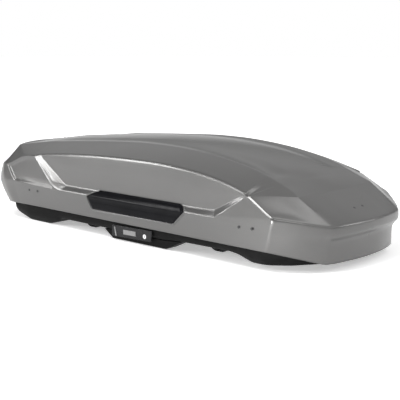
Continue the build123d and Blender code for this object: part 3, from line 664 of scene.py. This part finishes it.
def bead(sign, name):
    """The lid's rounded lip around the trim's pocket."""
    path = [(-253, 145), (-336, 108), (-299, 40), (270, 46), (345, 114), (322, 142)]
    pts = []
    for (xa, za), (xb, zb) in zip(path, path[1:]):
        k = max(2, int(math.hypot(xb - xa, zb - za) / 8))
        for q in range(k):
            t = q / k
            pts.append((xa + (xb - xa) * t, za + (zb - za) * t))
    pts.append(path[-1])
    P = np.array([(x, trim_ref(z), z) for x, z in pts])
    for _ in range(2):
        P[1:-1] = P[1:-1] * 0.5 + (P[:-2] + P[2:]) * 0.25
    P[:, 1] *= -sign
    n, k = len(P), 10
    out_dir = np.array([0, 1.0 * sign, 0])
    v, f = [], []
    for i in range(n):
        t = P[min(i + 1, n - 1)] - P[max(i - 1, 0)]
        t /= np.linalg.norm(t)
        b = np.cross(t, out_dir)
        b /= np.linalg.norm(b)
        m = np.cross(b, t)
        if m @ out_dir < 0:
            m = -m
        taper = float(smoothstep(np.array(min(i, n - 1 - i) / 5.0)))
        for q in range(k):
            an = 2 * math.pi * q / k
            v.append(P[i] + b * 3.6 * math.cos(an) * (0.4 + 0.6 * taper) + m * (2.6 * math.sin(an) * taper + 0.1))
    for i in range(n - 1):
        for q in range(k):
            a, b_ = i * k + q, i * k + (q + 1) % k
            f.append((a, b_, b_ + k, a + k))
    f.append(tuple(range(k))[::-1])
    f.append(tuple((n - 1) * k + q for q in range(k)))
    o = obj_from(name, v, f, MAT["lid_skin"], "lid")
    bm = bmesh.new()
    bm.from_mesh(o.data)
    bmesh.ops.recalc_face_normals(bm, faces=bm.faces)
    bm.to_mesh(o.data)
    bm.free()
    return o


bead(-1, "pocket_lip_near")
bead(1, "pocket_lip_far")


# ------------------------------------------------------------------ the other CAD nodes keep their shape
def dress(name, mat, width=0.0, angle=35.0, seg=2):
    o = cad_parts[name]
    o.data.materials.clear()
    o.data.materials.append(MAT[mat])
    o.data.polygons.foreach_set("use_smooth", [True] * len(o.data.polygons))
    if width > 0:
        w = o.modifiers.new("weld", "WELD")
        w.merge_threshold = 0.00002
        b = o.modifiers.new("edge", "BEVEL")
        b.width = width
        b.segments = seg
        b.limit_method = "ANGLE"
        b.angle_limit = math.radians(angle)
        b.use_clamp_overlap = True
        n = o.modifiers.new("normals", "WEIGHTED_NORMAL")
        n.weight = 60
        n.keep_sharp = False


tags = ["rear_near", "rear_far", "front_near", "front_far"]
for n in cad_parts:
    if n in ("lid_shell", "base_shell") or n.startswith("grab_trim"):
        continue
    if n in ("lock_console", "far_console"):
        dress(n, "base_skin", 0.004, 20, 3)
    elif n == "lock_face_panel":
        dress(n, "panel_black", 0.0012, 30, 3)
    elif n in ("label_plate", "slanted_mark"):
        dress(n, "grey_plastic", 0.0002)
    elif n.startswith("rail") or n in ("floor_channels", "latch_bar", "lid_strikers", "lock_cam"):
        dress(n, "steel", 0.0005)
    elif n in ("side_screws", "nose_screws"):
        dress(n, "dark_steel", 0.0004)
    elif n in ("hinge_base_knuckles", "hinge_lid_leaves", "strut_base_brackets", "strut_lid_brackets") or n.startswith("strut_cylinder"):
        dress(n, "dark_steel", 0.0004)
    elif n.startswith("strut_rod") or n == "lock_plug":
        dress(n, "chrome", 0.0003)
    elif n.startswith("claw_pins") or n == "hinge_pins":
        dress(n, "steel", 0.0003)
    elif n.startswith("lid_stiffener"):
        dress(n, "alu", 0.0008)
    elif n == "bar_pads":
        dress(n, "rubber", 0.0006)
    elif n in ("strap_rear", "strap_middle", "strap_front"):
        dress(n, "webbing")
    elif n.startswith("clamp_housing"):
        dress(n, "black_plastic", 0.0012)
    elif n.startswith("clamp_knob"):
        dress(n, "black_plastic", 0.001)
    elif n.startswith("claw_"):
        dress(n, "black_plastic", 0.0015)
    else:
        dress(n, "black_plastic", 0.0008)

# ------------------------------------------------------------------ floor, light, camera
fl, fnt, fb = new_mat("pale_floor")
fb.inputs["Base Color"].default_value = (0.86, 0.86, 0.86, 1)
fb.inputs["Roughness"].default_value = 0.9
fb.inputs["Specular IOR Level"].default_value = 0.1
fb.inputs["Emission Color"].default_value = (1, 1, 1, 1)
ftc = fnt.nodes.new("ShaderNodeTexCoord")
flen = fnt.nodes.new("ShaderNodeVectorMath")
flen.operation = "LENGTH"
fmr = fnt.nodes.new("ShaderNodeMapRange")
fmr.interpolation_type = "SMOOTHSTEP"
for key, v in (("From Min", 3.8), ("From Max", 9.0), ("To Min", 0.42), ("To Max", 0.92)):
    fmr.inputs[key].default_value = v
foff = fnt.nodes.new("ShaderNodeVectorMath")
foff.operation = "SUBTRACT"
foff.inputs[1].default_value = (1.5, -3.0, 0.0)
fnt.links.new(ftc.outputs["Object"], foff.inputs[0])
fnt.links.new(foff.outputs["Vector"], flen.inputs[0])
fnt.links.new(flen.outputs["Value"], fmr.inputs["Value"])
fnt.links.new(fmr.outputs["Result"], fb.inputs["Emission Strength"])
bm = bmesh.new()
bmesh.ops.create_grid(bm, x_segments=1, y_segments=1, size=60)
fme = bpy.data.meshes.new("floor")
bm.to_mesh(fme)
bm.free()
floor = bpy.data.objects.new("floor", fme)
floor.location = (0, 0, -0.0006)
fme.materials.append(fl)
bpy.context.scene.collection.objects.link(floor)

world = bpy.data.worlds.new("studio")
bpy.context.scene.world = world
world.use_nodes = True
wn = world.node_tree
bg = wn.nodes["Background"]
tc = wn.nodes.new("ShaderNodeTexCoord")
sp = wn.nodes.new("ShaderNodeSeparateXYZ")
wn.links.new(tc.outputs["Generated"], sp.inputs[0])


def sky(stops):
    r = wn.nodes.new("ShaderNodeValToRGB")
    wn.links.new(sp.outputs["Z"], r.inputs["Fac"])
    e = r.color_ramp.elements
    for q, (pos, v) in enumerate(stops):
        k = e[q] if q < 2 else e.new(pos)
        k.position, k.color = pos, (v, v, v, 1)
    return r


near_sky = sky(((0.0, 0.30), (0.09, 0.30), (0.22, 0.05), (1.0, 0.05)))
far_sky = sky(((0.0, 1.0), (0.09, 1.0), (0.22, 0.16), (0.45, 0.78), (1.0, 0.74)))
side_mix = wn.nodes.new("ShaderNodeMapRange")
side_mix.interpolation_type = "SMOOTHSTEP"
side_mix.inputs["From Min"].default_value = -0.35
side_mix.inputs["From Max"].default_value = 0.35
wn.links.new(sp.outputs["Y"], side_mix.inputs["Value"])
blend = wn.nodes.new("ShaderNodeMix")
blend.data_type = "RGBA"
wn.links.new(side_mix.outputs["Result"], blend.inputs[0])
wn.links.new(near_sky.outputs["Color"], blend.inputs[6])
wn.links.new(far_sky.outputs["Color"], blend.inputs[7])
wn.links.new(blend.outputs[2], bg.inputs["Color"])
bg.inputs["Strength"].default_value = 1.0


def area(name, direction, dist, sx, sy, power, target=(0, 0, 0.25), long_axis=(0, 0, 1)):
    """A rectangular light at a distance along a direction from the target; its second side runs along long_axis."""
    li = bpy.data.lights.new(name, "AREA")
    li.shape = "RECTANGLE"
    li.size, li.size_y = sx, sy
    li.energy = power
    o = bpy.data.objects.new(name, li)
    bpy.context.scene.collection.objects.link(o)
    d = Vector(direction).normalized()
    y = Vector(long_axis)
    y = (y - d * y.dot(d)).normalized()
    x = y.cross(d).normalized()
    o.matrix_world = Matrix(((x.x, y.x, d.x, 0), (x.y, y.y, d.y, 0), (x.z, y.z, d.z, 0), (0, 0, 0, 1)))
    o.location = Vector(target) + d * dist
    o.visible_camera = False
    return o


def strip(name, p0, p1, width, aim, power):
    """A strip light from p0 to p1, turned to a point."""
    p0, p1, aim = Vector(p0), Vector(p1), Vector(aim)
    d = (p0 + p1) / 2 - aim
    return area(name, d, d.length, width, (p1 - p0).length, power, aim, p1 - p0)


strip("panel_edge", (-4.27, -3.9, 1.1), (-2.8, -2.3, 3.2), 0.5, (0, -0.44, 0.3), 72)
area("ramp_light", (-0.609, -0.755, 0.245), 5.0, 0.9, 0.8, 54, (-0.6, -0.45, 0.29))
strip("panel_tip", (-0.95, -4.08, 3.1), (-0.65, -4.78, 1.9), 0.6, (0.85, -0.43, 0.2), 50)
area("corner_top", (-0.09, -0.44, 0.89), 5.0, 1.4, 1.8, 150, (0.82, -0.45, 0.28), (0, 0.9, 0.4))
area("corner_low", (0.21, -0.95, -0.12), 0.65, 0.2, 0.15, 5.5, (0.855, -0.445, 0.16))
area("nose_edge_far", (0.584, 0.708, 0.40), 5.0, 1.2, 1.4, 34, (1.05, -0.1, 0.2))
area("nose_edge_near", (0.70, -0.37, 0.62), 5.0, 1.3, 1.3, 40, (0.98, -0.35, 0.22))
area("front_light", (0.95, -0.1, 0.35), 6.0, 3.0, 2.0, 22)
area("hood_light", (0.235, 0.317, 0.92), 5.0, 2.0, 2.0, 30, (0.95, -0.33, 0.22))

cam = bpy.data.cameras.new("cam")
cam.sensor_width = 36.0
cam.sensor_fit = "HORIZONTAL"
cam.lens = 851.78 / 400 * 36.0
cam.clip_end = 200
co = bpy.data.objects.new("cam", cam)
co.location = (2.97033, -3.15542, 0.92823)
co.rotation_mode = "QUATERNION"
co.rotation_quaternion = Vector((-0.66517, 0.72555, -0.17641)).to_track_quat("-Z", "Y")
bpy.context.scene.collection.objects.link(co)
bpy.context.scene.camera = co

bpy.context.scene.view_settings.view_transform = "Standard"
bpy.context.scene.view_settings.look = "None"
bpy.context.scene.view_settings.exposure = 0.0
